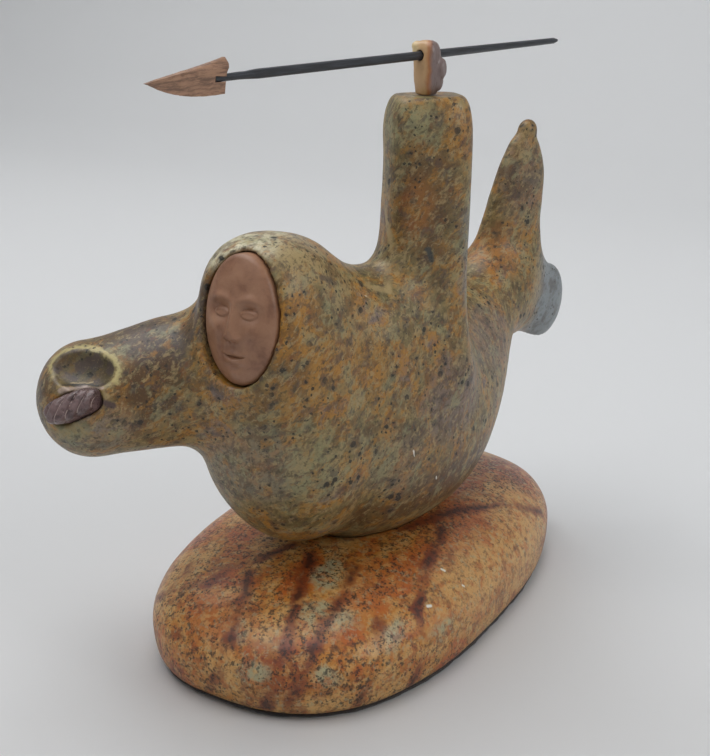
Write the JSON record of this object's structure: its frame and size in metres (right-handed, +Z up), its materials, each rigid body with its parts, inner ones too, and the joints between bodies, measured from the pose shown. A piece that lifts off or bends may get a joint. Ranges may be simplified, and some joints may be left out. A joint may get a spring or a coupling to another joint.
{
  "type": "stone hunter sculpture",
  "caption": "Carved soapstone sea hunter lying on a polished stone pebble, with an inset face, a raised fist that holds a thin harpoon, and felt underneath.",
  "frame": {"origin": "middle of the felt's flat underside", "axes": "+Z up, -Y the way the figure looks and the harpoon points, +X the figure's left side, with the raised sleeve"},
  "size_m": [0.1443, 0.2837, 0.2392],
  "materials": {
    "felt": "matte wool felt",
    "base_stone": "polished ochre and rust stone with dark red-brown veins",
    "soapstone": "satin olive and grey soapstone with ochre patches and black specks",
    "face_stone": "satin brown-pink stone",
    "dark_hand_stone": "glossy purple-brown stone, chipped",
    "tan_hand_stone": "polished tan to grey-brown stone",
    "shaft": "satin black dowel",
    "harpoon_head": "whittled brown, fine grain"
  },
  "bodies": {
    "root": {"felt_pad": "felt", "base_stone": "base_stone", "figure": "soapstone", "face": "face_stone", "front_hand": "dark_hand_stone", "raised_hand": "tan_hand_stone", "harpoon_shaft": "shaft", "harpoon_head": "harpoon_head"}
  },
  "joints": []
}
